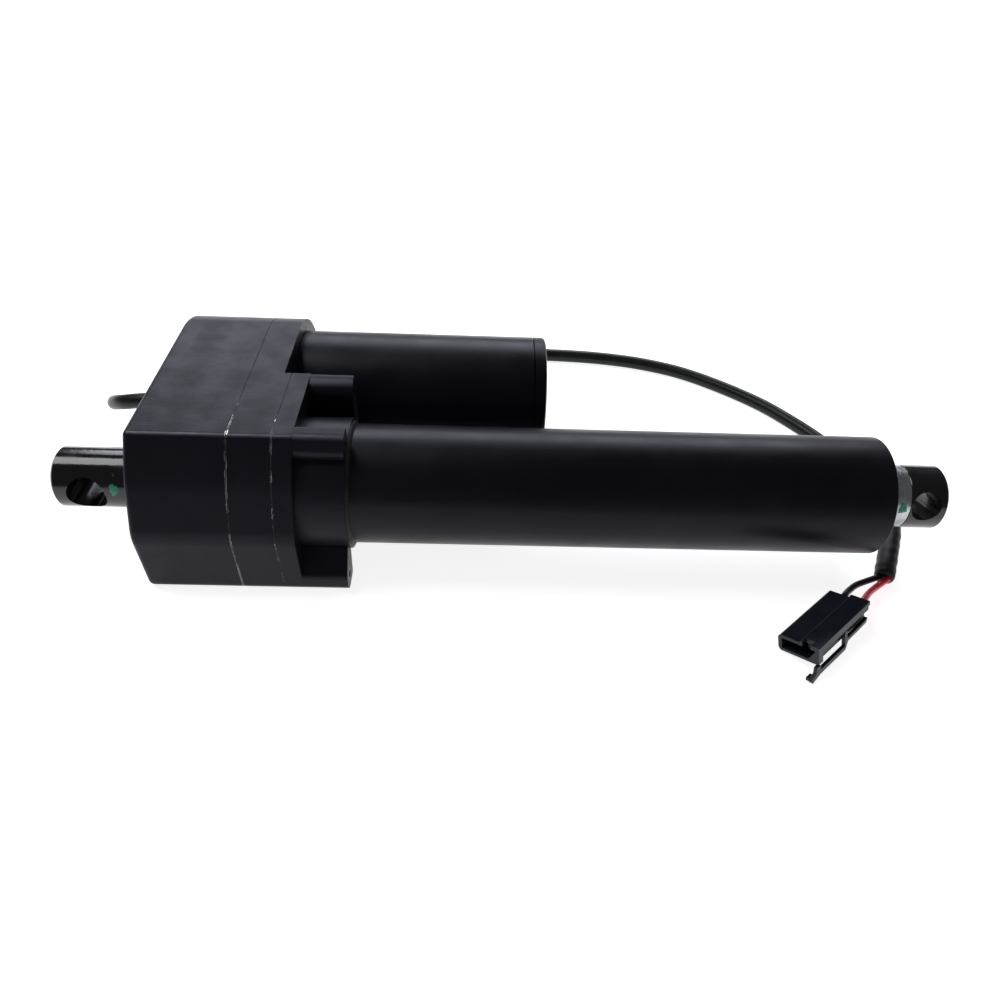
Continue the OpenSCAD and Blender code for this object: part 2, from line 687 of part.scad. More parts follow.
module rod_end() color("#141519") {
    difference() {
        union() {
            turned_x([[rod_ring_x + 0.1, 0], [rod_ring_x + 0.1, rod_r - 0.3], [rod_ring_x + 0.5, rod_r],
                [rod_end_x - 0.8, rod_r], [rod_end_x, rod_r - 0.8], [rod_end_x, 0]]);
            rod_x([rod_ring_x - 12, rod_ring_x + 1], rod_bore_r - fit);
        }
        translate([pin_to_pin, 0, 0]) rotate([90 - rod_pin_turn, 0, 0])
            cylinder(h = 40, d = rod_pin_d, center = true, $fn = 64);
    }
}

// ---------- cable ----------
grommet_x = 11;
module cable_grommet() color("#101114") {
    difference() {
        turned_x([[grommet_x, cable_d / 2 + fit], [grommet_x, 4.4], [20, 5.2], [20.6, 7], [22.6, 7],
            [gearbox_rear_x, 6.6], [gearbox_rear_x, 4.95], [cavity_rear_x, 4.95], [cavity_rear_x, 6.2],
            [cavity_rear_x + 1.6, 5.8], [cavity_rear_x + 1.6, cable_d / 2 + fit]], exit_y);
        rod_x([grommet_x - 1, cavity_rear_x + 3], cable_d / 2 + fit, exit_y);
    }
}

module cable() color("#15161a") swept(cable_route, cable_d / 2, 12);
module cable_sleeve() color("#1b1c20") swept(sleeve_route, sleeve_d / 2, 12);
module black_wire() color("#15161a") swept(black_route, wire_d / 2, 8);
module red_wire() color("#e0324b") swept(red_route, wire_d / 2, 8);

// Connector frame: origin at its rear face centre, +X out of its mouth, +Z up from its flat top
module at_plug() {
    translate(plug_at) rotate([0, 0, plug_heading]) rotate([plug_roll, 0, 0]) children();
}

terminal_y = [-3.6, 4.4];
terminal_z = 0.6;
terminal_r = 1.6;
mouth_l = 15;
tower = [mouth_l - 3.4, 5, 4];
top_step = 0.6;
lip_l = 1.2;
recess_l = plug_l - 3;
recess_y = 7;
recess_z = 0.6;
pivot_x = 17.3;
pivot_z = -0.6;
module connector_housing() color("#17181d") {
    at_plug() difference() {
        union() {
            difference() {
                union() {
                    rotate([90, 0, 90]) linear_extrude(plug_l) polygon(rounded([[-plug_w / 2, -plug_h / 2, 1.2],
                        [plug_w / 2, -plug_h / 2, 0.6], [plug_w / 2, plug_h / 2, 0.6], [top_step, plug_h / 2, 0.3],
                        [top_step, plug_h / 2 - top_step, 0.2], [-plug_w / 2, plug_h / 2 - top_step, 1.2]]));
                    translate([-lip_l, top_step, plug_h / 2 - 2]) cube([lip_l + 1, plug_w / 2 - top_step, 2]);
                    translate([16, -plug_w / 2 - 0.3, 1.2 - plug_h / 2]) cube([plug_l - 16, 1, plug_h - 3]);
                }
                translate([plug_l - mouth_l, 0, 0]) rotate([90, 0, 90]) linear_extrude(mouth_l + 1)
                    polygon(rounded([[1.3 - plug_w / 2, 1.3 - plug_h / 2, 0.6], [4.2, 1.3 - plug_h / 2, 0.4],
                        [plug_w / 2 - 1.3, plug_h / 2 - 2, 0.4], [1.3 - plug_w / 2, plug_h / 2 - 2, 0.6]]));
                translate([plug_l - 3, 1.6, plug_h / 2 - 2.4]) cube([4, 3.6, 3]);
            }
            for (y = terminal_y) translate([plug_l - mouth_l - 0.5, y - tower[1] / 2, terminal_z - tower[2] / 2])
                cube(tower);
        }
        translate([-lip_l - 1, recess_y, -plug_h]) cube([recess_l + lip_l + 1, plug_w, plug_h + recess_z]);
        for (y = terminal_y) translate([-1, y, terminal_z]) rotate([0, 90, 0])
            cylinder(h = plug_l, r = terminal_r + 0.1, $fn = 32);
    }
}

module connector_terminals() color("#c8a24a")
    at_plug() for (y = terminal_y) translate([2, y, terminal_z]) rotate([0, 90, 0])
        difference() {
            cylinder(h = plug_l - 9, r = terminal_r, $fn = 32);
            translate([0, 0, plug_l - 18]) cylinder(h = 12, r = 1, $fn = 32);
        }

// Rocking lever under the housing's side: finger wing at the rear, hook at the front
lever_y = [7.3, 8.8];
lever = [[0.4, -2.6, 0.3], [3, -3.6, 0.4], [pivot_x - 0.9, -3.9, 0.5], [pivot_x - 0.9, pivot_z, 0],
    [pivot_x + 0.9, pivot_z, 0], [pivot_x + 0.9, -6.9, 0.5], [plug_l - 1.4, -6.9, 0.4], [plug_l - 1.4, -4.6, 0.3],
    [plug_l + 1.2, -4.6, 0.5], [plug_l + 1.8, -7, 0.6], [plug_l + 5.3, -8.4, 0.6], [plug_l + 4.7, -10.2, 0.6],
    [plug_l - 1, -8.9, 1], [pivot_x + 0.4, -8.8, 1], [pivot_x - 1.4, -5.5, 1], [1.6, -5, 0.6]];
module connector_latch() color("#17181d")
    at_plug() {
        translate([0, lever_y[1], 0]) rotate([90, 0, 0]) linear_extrude(lever_y[1] - lever_y[0])
            polygon(rounded(lever));
        translate([pivot_x, lever_y[1], pivot_z]) rotate([90, 0, 0])
            cylinder(h = lever_y[1] - lever_y[0], r = 0.9, $fn = 32);
        translate([plug_l + 1.8, lever_y[0] - 1.4, -9.5]) cube([3, 1.6, 1.4]);
    }

rear_housing();
rear_clevis();
clevis_screw();
gearbox_gasket();
gear_plate();
front_gasket();
front_housing();
cover_screws();
housing_screws();
cover_tube();
tube_seal();
front_bush();
wiper_seal();
retaining_ring();
limit_board();
limit_switches();
rear_bearing_ring();
rear_bearing_balls();
front_bearing_ring();
front_bearing_balls();
idler_axle();
idler_washers();
motor_can();
motor_front_plate();
motor_end_cap();
motor_screws();
motor_magnets();
motor_bushes();
brush_holder();
brushes();
motor_leads();
cable_grommet();
cable();
cable_sleeve();
black_wire();
red_wire();
connector_housing();
connector_terminals();
connector_latch();
lead_screw();
drive_gear();
gear_key();
spacer_sleeve();
rear_bearing_race();
front_bearing_race();
screw_guide();
idler_wheel();
idler_pinion();
motor_shaft();
motor_pinion();
armature_core();
armature_windings();
commutator();
drive_nut();
rod_tube();
nut_pins();
rod_end();
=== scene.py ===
"""Looks of the linear actuator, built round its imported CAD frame.  Metres, in the CAD's frame:
+X along the rod, +Y from the screw axis to the motor axis, +Z up, origin at the rear pin hole."""
import json
import math

import bmesh
import bpy
from mathutils import Matrix, Vector


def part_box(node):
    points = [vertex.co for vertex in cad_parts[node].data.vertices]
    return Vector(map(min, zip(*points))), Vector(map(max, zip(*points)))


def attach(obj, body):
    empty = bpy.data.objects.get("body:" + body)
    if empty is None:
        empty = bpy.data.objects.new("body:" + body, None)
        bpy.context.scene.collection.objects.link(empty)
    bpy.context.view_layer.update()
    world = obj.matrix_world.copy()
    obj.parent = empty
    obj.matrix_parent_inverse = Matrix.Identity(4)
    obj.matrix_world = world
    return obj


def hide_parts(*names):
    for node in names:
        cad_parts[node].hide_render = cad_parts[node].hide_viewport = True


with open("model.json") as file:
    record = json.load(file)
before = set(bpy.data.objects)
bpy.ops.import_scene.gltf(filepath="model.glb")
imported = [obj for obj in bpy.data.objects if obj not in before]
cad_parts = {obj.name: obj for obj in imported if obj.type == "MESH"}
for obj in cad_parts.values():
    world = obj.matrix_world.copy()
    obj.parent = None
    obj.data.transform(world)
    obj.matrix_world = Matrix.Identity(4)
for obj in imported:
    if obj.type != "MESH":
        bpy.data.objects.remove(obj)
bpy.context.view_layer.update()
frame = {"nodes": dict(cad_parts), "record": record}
nodes = frame["nodes"]
MM = 0.001

# ---------------------------------------------------------------- places taken from the CAD
SEAM_REAR = (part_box("rear_housing")[1].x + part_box("gear_plate")[0].x) / 2
SEAM_FRONT = (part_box("gear_plate")[1].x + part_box("front_housing")[0].x) / 2
TABLE_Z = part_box("rear_housing")[0].z
ROD_R = (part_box("rod_tube")[1].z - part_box("rod_tube")[0].z) / 2
CLEVIS_R = (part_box("rear_clevis")[1].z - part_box("rear_clevis")[0].z) / 2


# ---------------------------------------------------------------- camera
SENSOR_WIDTH, LENS = 36.0, 28.232
CAMERA_PLACE = (0.1595, -0.2544, 0.2222)
CAMERA_FORWARD = (0.0330, 0.7412, -0.6705)
CAMERA_RIGHT = (0.9992, -0.0087, 0.0396)


def make_camera():
    """The photograph's viewpoint: 42 degrees above the table, in front of the cover tube."""
    data = bpy.data.cameras.new("camera")
    data.sensor_width = SENSOR_WIDTH
    data.lens = LENS
    camera = bpy.data.objects.new("camera", data)
    bpy.context.collection.objects.link(camera)
    forward = Vector(CAMERA_FORWARD).normalized()
    right = Vector(CAMERA_RIGHT)
    right = (right - forward * right.dot(forward)).normalized()
    up = right.cross(forward)
    turn = Matrix((right, up, -forward)).transposed().to_4x4()
    camera.matrix_world = Matrix.Translation(CAMERA_PLACE) @ turn
    bpy.context.scene.camera = camera


make_camera()


# ---------------------------------------------------------------- cords: routes in metres, as in the CAD
TABLE_LAY = -0.0304     # centre of the cable where it lies on the table
SLEEVE_Z = -0.0296      # centre of the thicker sleeve on the table
CABLE_D, SLEEVE_D, WIRE_D = 0.0072, 0.0087, 0.0028
SLEEVE_WALL, SLEEVE_WRINKLE = 0.0002, 0.00012
CABLE_ROUTE = [
    (0.0312, 0.057, 0), (0.022, 0.057, 0), (0.010, 0.057, 0), (0, 0.0566, -0.0005),
    (-0.0085, 0.058, -0.0025), (-0.015, 0.0623, -0.006), (-0.020, 0.069, -0.011),
    (-0.0225, 0.0768, -0.0165), (-0.0222, 0.085, -0.022), (-0.0185, 0.093, -0.027),
    (-0.011, 0.1005, -0.030), (0, 0.1075, TABLE_LAY), (0.012, 0.115, TABLE_LAY),
    (0.028, 0.125, TABLE_LAY), (0.047, 0.1345, TABLE_LAY), (0.070, 0.143, TABLE_LAY),
    (0.096, 0.1495, TABLE_LAY), (0.124, 0.1538, TABLE_LAY), (0.152, 0.156, TABLE_LAY),
    (0.180, 0.157, TABLE_LAY), (0.207, 0.1568, TABLE_LAY), (0.232, 0.155, TABLE_LAY),
    (0.256, 0.1505, TABLE_LAY), (0.279, 0.142, TABLE_LAY), (0.300, 0.1285, TABLE_LAY),
    (0.3195, 0.1118, TABLE_LAY), (0.333, 0.0955, TABLE_LAY), (0.344, 0.079, TABLE_LAY),
    (0.353, 0.061, TABLE_LAY), (0.359, 0.044, -0.0302), (0.3618, 0.032, -0.0298),
    (0.3617, 0.0222, SLEEVE_Z), (0.3595, 0.0165, SLEEVE_Z)]
SLEEVE_ROUTE = [(0.3595, 0.0165, SLEEVE_Z), (0.3568, 0.0095, SLEEVE_Z), (0.3537, 0.0025, SLEEVE_Z),
                (0.3505, -0.004, SLEEVE_Z), (0.3473, -0.0105, SLEEVE_Z), (0.3443, -0.0165, SLEEVE_Z),
                (0.342, -0.0213, SLEEVE_Z)]
BLACK_ROUTE = [(0.3404, -0.0207, SLEEVE_Z), (0.335, -0.0224, -0.0303), (0.328, -0.0256, -0.0302),
               (0.3222, -0.0306, -0.0288), (0.3186, -0.0346, -0.0273), (0.3149, -0.0378, -0.0273)]
RED_ROUTE = [(0.3434, -0.022, SLEEVE_Z), (0.3365, -0.027, -0.0292), (0.3298, -0.033, -0.0272),
             (0.3238, -0.040, -0.0246), (0.3197, -0.0435, -0.0246)]


def smooth_path(points, steps):
    """A Catmull-Rom curve through the points."""
    points = [Vector(p) for p in points]
    first, last = 2 * points[0] - points[1], 2 * points[-1] - points[-2]
    chain = [first, *points, last]
    path = []
    for i in range(1, len(chain) - 2):
        a, b, c, d = chain[i - 1:i + 3]
        for k in range(steps):
            t = k / steps
            path.append(0.5 * (2 * b + (c - a) * t + (2 * a - 5 * b + 4 * c - d) * t * t
                               + (3 * b - a - 3 * c + d) * t ** 3))
    return path + [points[-1]]


def swept(name, path, radius, sides=24):
    """A closed tube along path. radius is a number, or a function of the share of the path, 0 to 1,
    and the angle about it."""
    built = bmesh.new()
    side = None
    rings = []
    for i, point in enumerate(path):
        along = (path[min(i + 1, len(path) - 1)] - path[max(i - 1, 0)]).normalized()
        side = along.orthogonal() if side is None else side - along * side.dot(along)
        side.normalize()
        other = along.cross(side)
        share = i / (len(path) - 1)
        ring = []
        for k in range(sides):
            angle = 2 * math.pi * k / sides
            r = radius(share, angle) if callable(radius) else radius
            ring.append(built.verts.new(point + r * (side * math.cos(angle) + other * math.sin(angle))))
        rings.append(ring)
    for low, high in zip(rings, rings[1:]):
        for k in range(sides):
            n = (k + 1) % sides
            built.faces.new((low[k], low[n], high[n], high[k]))
    built.faces.new(list(reversed(rings[0])))
    built.faces.new(rings[-1])
    return finish_mesh(name, built)


def finish_mesh(name, built):
    """Makes a smooth-shaded object of the mesh that was built."""
    bmesh.ops.recalc_face_normals(built, faces=built.faces)
    mesh = bpy.data.meshes.new(name)
    built.to_mesh(mesh)
    built.free()
    mesh.shade_smooth()
    piece = bpy.data.objects.new(name, mesh)
    bpy.context.collection.objects.link(piece)
    return piece


def sleeve_radius(share, angle):
    """Shrunk down onto the cable at the start, with low wrinkles and a soft open end."""
    gripped, open_end = 0.2, 0.93      # shares of the sleeve's length where these end and begin
    grip = min(1.0, share / gripped)
    tight = CABLE_D / 2 + SLEEVE_WALL
    r = tight + (SLEEVE_D / 2 - CABLE_D / 2 - SLEEVE_WALL) * (3 * grip ** 2 - 2 * grip ** 3)
    r += SLEEVE_WRINKLE * math.sin(38 * share + 2 * math.sin(angle)) * math.sin(angle + 7 * share)
    tail = max(0.0, (share - open_end) / (1 - open_end))
    return r - 0.0006 * tail ** 2


cable_path = smooth_path(CABLE_ROUTE, 6)
cable = swept("cable_jacket", cable_path, CABLE_D / 2)
sleeve_path = smooth_path(SLEEVE_ROUTE, 14)
sleeve = swept("cable_shrink_sleeve", sleeve_path, sleeve_radius, 40)
black_path = smooth_path(BLACK_ROUTE, 10)
black_wire = swept("wire_black", black_path, WIRE_D / 2, 20)
red_path = smooth_path(RED_ROUTE, 10)
red_wire = swept("wire_red", red_path, WIRE_D / 2, 20)
SOFT_PIECES = ((cable, "cable", "cable_jacket"), (sleeve, "cable_sleeve", "shrink_sleeve"),
               (black_wire, "black_wire", "cable_jacket"), (red_wire, "red_wire", "red_insulation"))
for piece, node, body_slot in SOFT_PIECES:
    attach(piece, "housing")
    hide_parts(node)


# ---------------------------------------------------------------- node helpers
class Material:
    """A node material made line by line; every texture reads object coordinates, in metres."""

    def __init__(self, name):
        self.material = bpy.data.materials.new(name)
        self.material.use_nodes = True
        self.tree = self.material.node_tree
        self.shader = self.tree.nodes["Principled BSDF"]
        self.place = self.tree.nodes.new("ShaderNodeTexCoord").outputs["Object"]

    def node(self, kind, **values):
        made = self.tree.nodes.new(kind)
        for key, value in values.items():
            setattr(made, key, value)
        return made

    def link(self, source, target):
        self.tree.links.new(source, target)

    def value(self, socket, value):
        """Gives one of the shader's own inputs its value."""
        self.put(self.shader.inputs[socket], value)

    def put(self, target, value):
        """Sets an input, or links it if value comes from a node."""
        if isinstance(value, bpy.types.NodeSocket):
            self.link(value, target)
        else:
            target.default_value = value

    def math(self, operation, first, second=0.0):
        made = self.node("ShaderNodeMath", operation=operation)
        self.put(made.inputs[0], first)
        self.put(made.inputs[1], second)
        return made.outputs[0]

    def stretched(self, scale=(1, 1, 1), offset=(0, 0, 0)):
        """The object's coordinates, scaled and moved."""
        made = self.node("ShaderNodeMapping")
        made.inputs["Scale"].default_value = scale
        made.inputs["Location"].default_value = offset
        self.link(self.place, made.inputs["Vector"])
        return made.outputs[0]

    def noise(self, scale, detail=4.0, stretch=(1, 1, 1), offset=(0, 0, 0), rough=0.5):
        made = self.node("ShaderNodeTexNoise")
        made.inputs["Scale"].default_value = scale
        made.inputs["Detail"].default_value = detail
        made.inputs["Roughness"].default_value = rough
        self.link(self.stretched(stretch, offset), made.inputs["Vector"])
        return made.outputs["Fac"]

    def cells(self, scale, offset=(0, 0, 0)):
        made = self.node("ShaderNodeTexVoronoi")
        made.inputs["Scale"].default_value = scale
        self.link(self.stretched(offset=offset), made.inputs["Vector"])
        return made.outputs["Distance"]

    def ramp(self, source, low, high, out_low=0.0, out_high=1.0):
        """A soft step from out_low to out_high while source goes from low to high."""
        made = self.node("ShaderNodeMapRange", interpolation_type="SMOOTHSTEP")
        self.link(source, made.inputs["Value"])
        limits = {"From Min": low, "From Max": high, "To Min": out_low, "To Max": out_high}
        for socket, value in limits.items():
            made.inputs[socket].default_value = value
        return made.outputs["Result"]

    def axis(self, name):
        """One of the object's coordinates, in metres."""
        made = self.node("ShaderNodeSeparateXYZ")
        self.link(self.place, made.inputs[0])
        return made.outputs[name]

    def facing(self, name):
        """One part of the surface's own direction."""
        made = self.node("ShaderNodeSeparateXYZ")
        self.link(self.node("ShaderNodeTexCoord").outputs["Normal"], made.inputs[0])
        return made.outputs[name]

    def mix(self, factor, first, second):
        """Blends two colours, each a tuple or a socket."""
        made = self.node("ShaderNodeMix", data_type="RGBA")
        self.put(made.inputs["Factor"], factor)
        colour_a, colour_b, colour_out = made.inputs[6], made.inputs[7], made.outputs[2]
        for socket, value in ((colour_a, first), (colour_b, second)):
            self.put(socket, (*value, 1.0) if isinstance(value, tuple) else value)
        return colour_out

    def bump(self, *layers):
        """layers: (height socket, distance in metres); each adds to the one before it."""
        last = None
        for height, distance in layers:
            made = self.node("ShaderNodeBump")
            made.inputs["Strength"].default_value = 1.0
            made.inputs["Distance"].default_value = distance
            self.link(height, made.inputs["Height"])
            if last:
                self.link(last, made.inputs["Normal"])
            last = made.outputs[0]
        self.link(last, self.shader.inputs["Normal"])

    def colour(self, value):
        self.value("Base Color", (*value, 1.0) if isinstance(value, tuple) else value)


# ---------------------------------------------------------------- finishes
PAINT_SHINE = 0.16                          # how strongly the black paint reflects
PAINT_TINT = (0.80, 0.80, 1.0, 1.0)         # a slightly blue reflection
RUBBED_SHINE = 0.45                         # added where the castings' top edge is rubbed
SEAM_WEAR = ((SEAM_REAR, 0.62 * MM, 0.28 * MM), (SEAM_FRONT, 0.48 * MM, 0.25 * MM))


def dust(m, scale=420, amount=0.045):
    """Scattered pale specks, where few cells are small enough to show."""
    speck = m.ramp(m.cells(scale), amount, amount * 0.55)
    sparse = m.ramp(m.noise(60, 2, offset=(3, 1, 2)), 0.6, 0.66)
    return m.math("MULTIPLY", speck, sparse)


def casting_paint():
    """Black satin paint on cast aluminium.  It is chipped to bare metal at the two joints, most on the
    near side by the top edge, with a hair line of metal along each, and rubbed shinier where the top
    turns over."""
    m = Material("casting_paint")
    x = m.axis("X")
    near_edge = m.math("MULTIPLY", m.ramp(m.axis("Y"), 0.022, 0.002),
                       m.ramp(m.axis("Z"), -0.012, 0.010))
    worn = None
    for seam, width, line in SEAM_WEAR:
        away = m.math("ABSOLUTE", m.math("SUBTRACT", x, seam))
        chips = m.noise(480, 5, stretch=(1, 0.5, 0.5), offset=(seam * 50, 0, 0), rough=0.7)
        chips = m.ramp(chips, 0.42, 0.66)
        width = m.math("MULTIPLY", m.math("MULTIPLY", chips, width), near_edge)
        hair = m.ramp(m.noise(60, 4, offset=(0, seam * 90, 4), rough=0.6), 0.36, 0.56, 0.0, line)
        hair = m.math("MULTIPLY", hair, m.ramp(m.axis("Y"), 0.016, -0.004))
        mark = m.math("MAXIMUM", m.math("LESS_THAN", away, width), m.math("LESS_THAN", away, hair))
        worn = mark if worn is None else m.math("MAXIMUM", worn, mark)
    tarnish = m.ramp(m.noise(260, 4, offset=(2, 2, 2)), 0.35, 0.62)
    bare = m.mix(tarnish, (0.10, 0.10, 0.10), (0.72, 0.72, 0.70))
    cloud = m.ramp(m.noise(18, 3), 0.35, 0.65)
    paint = m.mix(cloud, (0.0052, 0.0052, 0.0085), (0.0072, 0.0072, 0.0115))
    paint = m.mix(dust(m), paint, (0.10, 0.10, 0.105))
    m.colour(m.mix(worn, paint, bare))
    m.value("Metallic", worn)
    rubbed = m.math("MULTIPLY", m.ramp(m.facing("Z"), 0.66, 0.80),
                    m.ramp(m.facing("Z"), 0.995, 0.96))
    rubbed = m.math("MULTIPLY", rubbed, m.ramp(m.axis("Z"), 0.0300, 0.0312))
    m.value("Specular IOR Level", m.math("ADD", PAINT_SHINE, m.math("MULTIPLY", rubbed, RUBBED_SHINE)))
    m.value("Specular Tint", PAINT_TINT)
    rough = m.ramp(m.noise(90, 4), 0.3, 0.7, 0.36, 0.46)
    m.value("Roughness", m.math("SUBTRACT", rough, m.math("MULTIPLY", worn, 0.06)))
    unworn = m.math("SUBTRACT", 1.0, worn)
    m.bump((m.noise(900, 3), 0.04 * MM), (m.noise(150, 2), 0.10 * MM), (unworn, 0.05 * MM))
    return m.material


def tube_paint():
    """Smooth black satin paint with faint drawn lines along the tube."""
    m = Material("tube_paint")
    cloud = m.ramp(m.noise(25, 3), 0.35, 0.65)
    paint = m.mix(cloud, (0.0042, 0.0042, 0.0070), (0.0062, 0.0062, 0.0095))
    m.value("Specular IOR Level", PAINT_SHINE)
    m.value("Specular Tint", PAINT_TINT)
    m.colour(m.mix(dust(m, 500, 0.04), paint, (0.15, 0.15, 0.155)))
    lines = m.noise(420, 3, stretch=(0.03, 1, 1))
    m.value("Roughness", m.ramp(m.noise(60, 4), 0.3, 0.7, 0.31, 0.40))
    m.bump((lines, 0.015 * MM), (m.noise(1100, 2), 0.025 * MM))
    return m.material


def fitting_paint():
    """Gloss black paint on turned steel, rubbed brighter in small patches."""
    m = Material("fitting_paint")
    rub = m.ramp(m.noise(300, 5, rough=0.65), 0.70, 0.74)
    m.colour(m.mix(rub, (0.0035, 0.0035, 0.0045), (0.08, 0.08, 0.085)))
    m.value("Roughness", m.ramp(m.noise(120, 4), 0.3, 0.7, 0.10, 0.19))
    m.bump((m.noise(500, 3), 0.03 * MM), (m.noise(900, 2, stretch=(1, 0.1, 0.1)), 0.015 * MM))
    return m.material


def rod_steel():
    """Bright steel with fine rings from turning and a few longer scratches."""
    m = Material("rod_steel")
    rings = m.noise(2600, 3, stretch=(1, 0.02, 0.02))
    stain = m.ramp(m.noise(140, 4, offset=(1, 5, 2)), 0.45, 0.7)
    m.colour(m.mix(stain, (0.46, 0.465, 0.49), (0.30, 0.305, 0.33)))
    m.value("Metallic", 1.0)
    m.value("Roughness", m.ramp(rings, 0.3, 0.7, 0.2, 0.38))
    m.value("Anisotropic", 0.5)
    m.bump((rings, 0.02 * MM), (m.noise(300, 4, stretch=(0.1, 1, 1)), 0.02 * MM))
    return m.material


def metal(name, colour, rough=0.3, grain=(1, 1, 1), tint=0.8):
    """A machined metal: directional grain, slow tone changes and small roughness steps."""
    m = Material(name)
    lines = m.noise(1500, 3, stretch=grain)
    darker = tuple(c * tint for c in colour)
    m.colour(m.mix(m.ramp(m.noise(120, 4), 0.35, 0.65), colour, darker))
    m.value("Metallic", 1.0)
    m.value("Roughness", m.ramp(lines, 0.3, 0.7, rough * 0.8, rough * 1.3))
    m.bump((lines, 0.02 * MM))
    return m.material


def plastic(name, colour, rough=0.5, grain=900, depth=0.04, specks=False, shine=0.5):
    """A moulded plastic or rubber: fine surface grain, slow colour change."""
    m = Material(name)
    lighter = tuple(min(1.0, c * 1.25 + 0.002) for c in colour)
    base = m.mix(m.ramp(m.noise(80, 4), 0.35, 0.65), colour, lighter)
    if specks:
        base = m.mix(dust(m, 600, 0.05), base, (0.12, 0.12, 0.12))
    m.colour(base)
    m.value("Specular IOR Level", shine)
    m.value("Roughness", m.ramp(m.noise(200, 4), 0.3, 0.7, rough * 0.88, min(1.0, rough * 1.15)))
    m.bump((m.noise(grain, 4), depth * MM), (m.noise(grain / 6, 2), depth * MM))
    return m.material


def paint_dab():
    """A brushed dab of green marking paint."""
    m = Material("green_dab")
    m.colour(m.mix(m.ramp(m.noise(500, 3), 0.4, 0.6), (0.0, 0.17, 0.095), (0.01, 0.26, 0.15)))
    m.value("Roughness", m.ramp(m.noise(400, 3), 0.3, 0.7, 0.35, 0.55))
    m.bump((m.noise(700, 3), 0.08 * MM))
    return m.material


CASTING = casting_paint()
TUBE_PAINT = tube_paint()
FITTING = fitting_paint()
ROD_STEEL = rod_steel()
ALONG, AROUND = (0.03, 1, 1), (1, 0.03, 0.03)
FINISHES = {
    "casting_paint": CASTING,
    "tube_paint": TUBE_PAINT,
    "fitting_paint": FITTING,
    "rod_steel": ROD_STEEL,
    "black_screws": metal("black_oxide", (0.06, 0.06, 0.065), 0.4, AROUND),
    "steel": metal("bright_steel", (0.6, 0.61, 0.63), 0.25, AROUND),
    "bearing_steel": metal("bearing_steel", (0.64, 0.65, 0.67), 0.14, AROUND),
    "screw_steel": metal("screw_steel", (0.46, 0.46, 0.47), 0.3, AROUND),
    "gear_steel": metal("gear_steel", (0.40, 0.41, 0.43), 0.34, ALONG),
    "zinc_plate": metal("zinc_plate", (0.56, 0.57, 0.6), 0.32),
    "core_steel": metal("core_steel", (0.28, 0.29, 0.3), 0.45, AROUND),
    "bronze": metal("bronze", (0.5, 0.33, 0.16), 0.42),
    "copper": metal("copper", (0.62, 0.27, 0.12), 0.3, ALONG),
    "terminal_brass": metal("terminal_brass", (0.75, 0.58, 0.3), 0.25, ALONG),
    "magnet": plastic("ferrite", (0.05, 0.05, 0.055), 0.55),
    "gasket": plastic("gasket_fibre", (0.03, 0.03, 0.031), 0.8, 1500),
    "seal_rubber": plastic("seal_rubber", (0.008, 0.008, 0.009), 0.5, 1400, 0.03, False, 0.15),
    "bush_plastic": plastic("acetal", (0.58, 0.56, 0.5), 0.42, 1200, 0.02),
    "nylon": plastic("nylon", (0.78, 0.75, 0.66), 0.4, 1200, 0.02),
    "board": plastic("board_green", (0.02, 0.12, 0.05), 0.35, 2000, 0.02),
    "switch_plastic": plastic("switch_black", (0.02, 0.02, 0.022), 0.45),
    "carbon": plastic("carbon", (0.03, 0.03, 0.031), 0.6),
    "brush_board": plastic("brown_laminate", (0.14, 0.07, 0.035), 0.5, 2200, 0.03),
    "cable_jacket": plastic("cable_jacket", (0.007, 0.008, 0.008), 0.36, 1300, 0.03, True, 0.25),
    "shrink_sleeve": plastic("shrink_sleeve", (0.010, 0.010, 0.011), 0.5, 1000, 0.05, True, 0.25),
    "red_insulation": plastic("red_insulation", (0.80, 0.02, 0.06), 0.3, 1500, 0.015),
    "connector_plastic": plastic("connector_nylon", (0.009, 0.011, 0.019), 0.36, 2200, 0.02, True, 0.3),
}

for entry in frame["record"]["subparts"]:
    mesh = nodes[entry["node"]].data
    mesh.materials.clear()
    mesh.materials.append(FINISHES[entry["material_slot"]])


for piece, node, body_slot in SOFT_PIECES:
    piece.data.materials.append(FINISHES[body_slot])


def soften(name, width):
    """Joins a CAD node's split faces, rounds its sharp edges and smooths the rest."""
    piece = nodes[name]
    weld = piece.modifiers.new("weld", "WELD")
    weld.merge_threshold = 0.002 * MM
    bevel = piece.modifiers.new("edges", "BEVEL")
    bevel.width = width * MM
    bevel.segments = 3
    bevel.limit_method = "ANGLE"
    bevel.angle_limit = math.radians(35)
    bevel.miter_outer = "MITER_ARC"
    piece.data.shade_smooth()
    normals = piece.modifiers.new("normals", "WEIGHTED_NORMAL")
    normals.keep_sharp = False
    normals.weight = 60


EDGE_WIDTHS = {     # millimetres
    "rear_housing": 0.5, "gear_plate": 0.4, "front_housing": 0.5, "cover_tube": 0.4, "motor_can": 0.3,
    "rear_clevis": 0.5, "rod_end": 0.5, "rod_tube": 0.2, "connector_housing": 0.25,
    "connector_latch": 0.25,
}
for node_name, edge in EDGE_WIDTHS.items():
    soften(node_name, edge)


# ---------------------------------------------------------------- added pieces
def cylinder_point(x, angle, radius):
    """A point on a cylinder about the screw axis; angle 0 faces -Y and grows upwards."""
    return Vector((x, -radius * math.cos(angle), radius * math.sin(angle)))


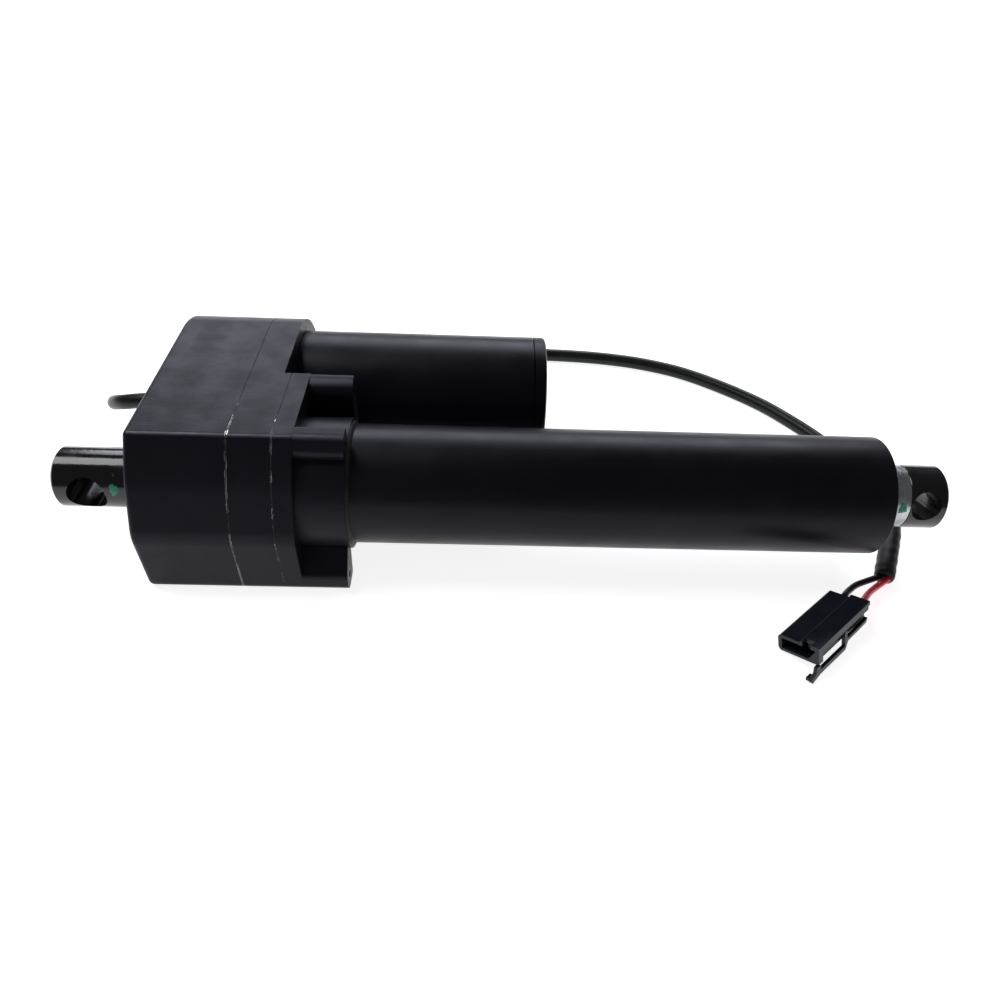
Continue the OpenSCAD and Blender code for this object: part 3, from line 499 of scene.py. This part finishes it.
def make_dab(name, x, angle, radius, half_length, half_height, seed, body):
    """A dab of marking paint: a thin dome with a ragged outline, wrapped on a cylinder."""
    built = bmesh.new()
    rings, sides = 7, 56
    middle = math.radians(angle)
    centre = built.verts.new(cylinder_point(x, middle, radius + DAB_HEIGHT))
    last = None
    for ring in range(1, rings + 1):
        share = ring / rings
        row = []
        for k in range(sides):
            a = 2 * math.pi * k / sides
            edge = 1 + 0.16 * math.sin(3 * a + seed) + 0.09 * math.sin(7 * a + 2 * seed)
            edge += 0.05 * math.sin(13 * a + 3 * seed)
            u = share * edge * half_length * math.cos(a)
            v = share * edge * half_height * math.sin(a)
            lump = 1 + 0.25 * math.sin(5 * share * math.cos(a) + 4 * seed)
            height = DAB_HEIGHT * lump * math.sqrt(1 - share ** 2) if ring < rings else -DAB_SINK
            place = cylinder_point(x + u, middle + v / radius, radius + height)
            row.append(built.verts.new(place))
        for k in range(sides):
            n = (k + 1) % sides
            if last is None:
                built.faces.new((centre, row[k], row[n]))
            else:
                built.faces.new((last[k], row[k], row[n], last[n]))
        last = row
    dab = finish_mesh(name, built)
    dab.data.materials.append(GREEN_DAB)
    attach(dab, body)


GREEN_DAB = paint_dab()
DAB_HEIGHT, DAB_SINK = 0.12 * MM, 0.02 * MM
make_dab("clevis_paint_dab", 0.0119, 16, CLEVIS_R, 1.9 * MM, 2.6 * MM, 1.3, "housing")
make_dab("rod_paint_dab", 0.3404, 18, ROD_R, 1.8 * MM, 2.4 * MM, 2.6, "rod")


# ---------------------------------------------------------------- light and floor
def make_stage():
    """A white floor that glows a little, so that shadows on it stay faint."""
    floor_mesh = bpy.data.meshes.new("floor")
    reach = 4.0
    corners = [(-reach, -reach, TABLE_Z), (reach, -reach, TABLE_Z), (reach, reach, TABLE_Z),
               (-reach, reach, TABLE_Z)]
    floor_mesh.from_pydata(corners, [], [(0, 1, 2, 3)])
    floor = bpy.data.objects.new("floor", floor_mesh)
    bpy.context.collection.objects.link(floor)
    m = Material("floor_white")
    m.colour((0.8, 0.8, 0.8))
    m.value("Roughness", 0.9)
    m.value("Specular IOR Level", 0.1)
    m.value("Emission Color", (1, 1, 1, 1))
    m.value("Emission Strength", 0.85)
    floor_mesh.materials.append(m.material)


def area_light(name, place, target, size, power, colour=(1, 1, 1)):
    """A rectangular softbox at place, turned to target; size is its width and height."""
    data = bpy.data.lights.new(name, "AREA")
    data.energy = power
    data.color = colour
    data.shape = "RECTANGLE"
    data.size, data.size_y = size
    light = bpy.data.objects.new(name, data)
    bpy.context.collection.objects.link(light)
    light.location = place
    light.rotation_euler = (Vector(target) - Vector(place)).to_track_quat("-Z", "Y").to_euler()


def make_lights():
    """A dim even studio, a long softbox behind the part and a small one over the gearbox."""
    world = bpy.data.worlds.new("studio")
    bpy.context.scene.world = world
    world.use_nodes = True
    background = world.node_tree.nodes["Background"]
    background.inputs["Color"].default_value = (0.95, 0.96, 1.0, 1.0)
    background.inputs["Strength"].default_value = 0.13
    area_light("softbox_back", (0.15, 1.3, 0.80), (0.15, 0.05, 0), (1.8, 0.72), 17, (0.90, 0.91, 1.0))
    area_light("softbox_left", (-0.38, 0.19, 0.9), (-0.38, 0.19, 0), (0.48, 0.48), 4.5)


make_stage()
make_lights()
bpy.context.scene.view_settings.view_transform = "Standard"
